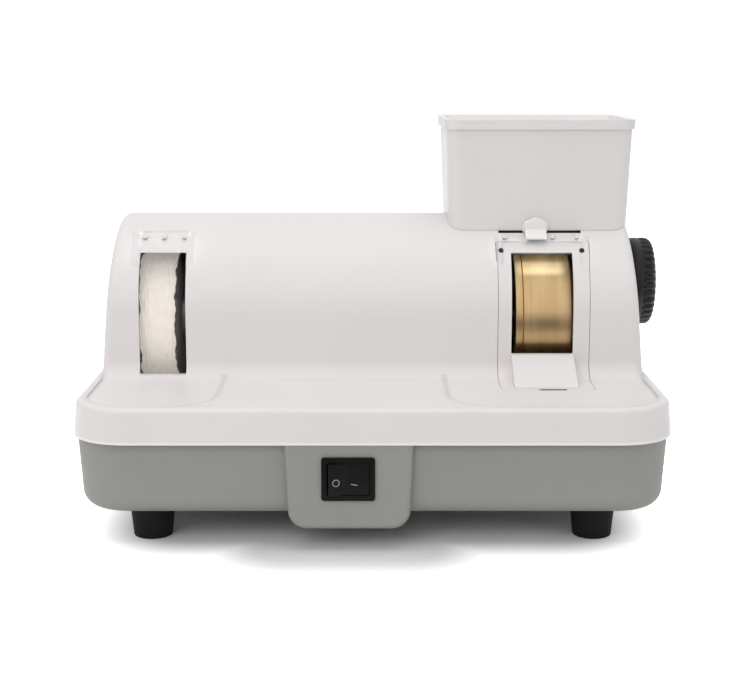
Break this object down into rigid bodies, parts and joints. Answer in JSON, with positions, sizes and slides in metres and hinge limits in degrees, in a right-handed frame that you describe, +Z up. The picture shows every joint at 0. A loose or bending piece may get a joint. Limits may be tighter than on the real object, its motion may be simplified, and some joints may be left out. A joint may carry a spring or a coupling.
{
  "type": "hand lens edger",
  "caption": "Bench hand edger for spectacle lenses: wet diamond wheel behind a window with a water tank above it, cloth polishing wheel at the other end, drip trays and rocker switch.",
  "frame": {"origin": "middle of the machine's box, on the bench under the feet", "axes": "+X to the operator's right along the spindle, -Y the operator's side, +Z up"},
  "size_m": [0.36, 0.246, 0.2443],
  "materials": {
    "housing_white": "satin",
    "base_grey": "fine matte",
    "foot_rubber": "matte",
    "screw_steel": "zinc plated",
    "nylon_white": "moulded nylon",
    "insert_screw_black": "black oxide",
    "switch_black": "satin",
    "rocker_black": "satin",
    "terminal_brass": "tinned",
    "motor_grey": "satin",
    "cast_aluminium": "as cast",
    "bearing_steel": "ground",
    "core_steel": "laminated",
    "winding_copper": "enamelled wire",
    "sheet_steel": "zinc plated",
    "capacitor_can": "drawn",
    "diamond_bronze": "sintered, matt",
    "buff_cloth": "stitched cotton",
    "insert_white": "satin",
    "guard_clear": "clear",
    "holder_white": "satin",
    "felt_grey": "pressed felt",
    "tank_white": "satin",
    "spout_grey": "moulded",
    "inner_white": "moulded",
    "cap_black": "satin"
  },
  "bodies": {
    "machine": {"upper_housing": "housing_white", "lower_base": "base_grey", "foot_front_left": "foot_rubber", "foot_front_right": "foot_rubber", "foot_rear_left": "foot_rubber", "foot_rear_right": "foot_rubber", "foot_screws": "screw_steel", "housing_screws": "screw_steel", "switch_body": "switch_black", "switch_terminals": "terminal_brass", "power_inlet": "switch_black", "inlet_pins": "terminal_brass", "motor_case": "motor_grey", "left_end_bell": "cast_aluminium", "right_end_bell": "cast_aluminium", "left_bearing": "bearing_steel", "right_bearing": "bearing_steel", "stator_core": "core_steel", "stator_windings": "winding_copper", "motor_cradle": "sheet_steel", "motor_straps": "sheet_steel", "run_capacitor": "capacitor_can", "capacitor_clip": "sheet_steel", "wheel_insert": "insert_white", "insert_screws": "insert_screw_black", "grinding_guard": "guard_clear", "grinding_guard_screws": "nylon_white", "polishing_guard": "guard_clear", "polishing_guard_screws": "nylon_white", "left_partition": "inner_white", "right_partition": "inner_white", "water_pan": "inner_white", "lint_pan": "inner_white", "drain_spigot": "spout_grey"},
    "spindle": {"shaft": "bearing_steel", "rotor": "core_steel", "diamond_rim": "diamond_bronze", "wheel_core": "cast_aluminium", "grinding_flanges": "bearing_steel", "grinding_nut": "screw_steel", "buffing_wheel": "buff_cloth", "polishing_flanges": "bearing_steel", "polishing_nut": "screw_steel"},
    "rocker": {"switch_rocker": "rocker_black"},
    "holder": {"sponge_holder": "holder_white", "drip_felt": "felt_grey"},
    "tank": {"water_tank": "tank_white", "drip_spout": "spout_grey"},
    "cap": {"port_cap": "cap_black"}
  },
  "joints": [
    {"name": "spindle_spin", "type": "hinge", "parent": "machine", "child": "spindle", "pos_m": [-0.003, 0.02401, 0.116], "axis": [1, 0, 0], "continuous": true},
    {"name": "rocker_rock", "type": "hinge", "parent": "machine", "child": "rocker", "pos_m": [-0.017, -0.11899, 0.044], "axis": [0, 0, -1], "range_deg": [0, 18]},
    {"name": "holder_slide", "type": "slide", "parent": "machine", "child": "holder", "axis": [0, -0.5299, 0.848], "range_m": [0, 0.02]},
    {"name": "tank_lift", "type": "slide", "parent": "machine", "child": "tank", "axis": [0, 0, 1], "range_m": [0, 0.09]},
    {"name": "cap_turn", "type": "hinge", "parent": "machine", "child": "cap", "pos_m": [0.1675, 0.03001, 0.1378], "axis": [1, 0, 0], "range_deg": [0, 90]}
  ]
}
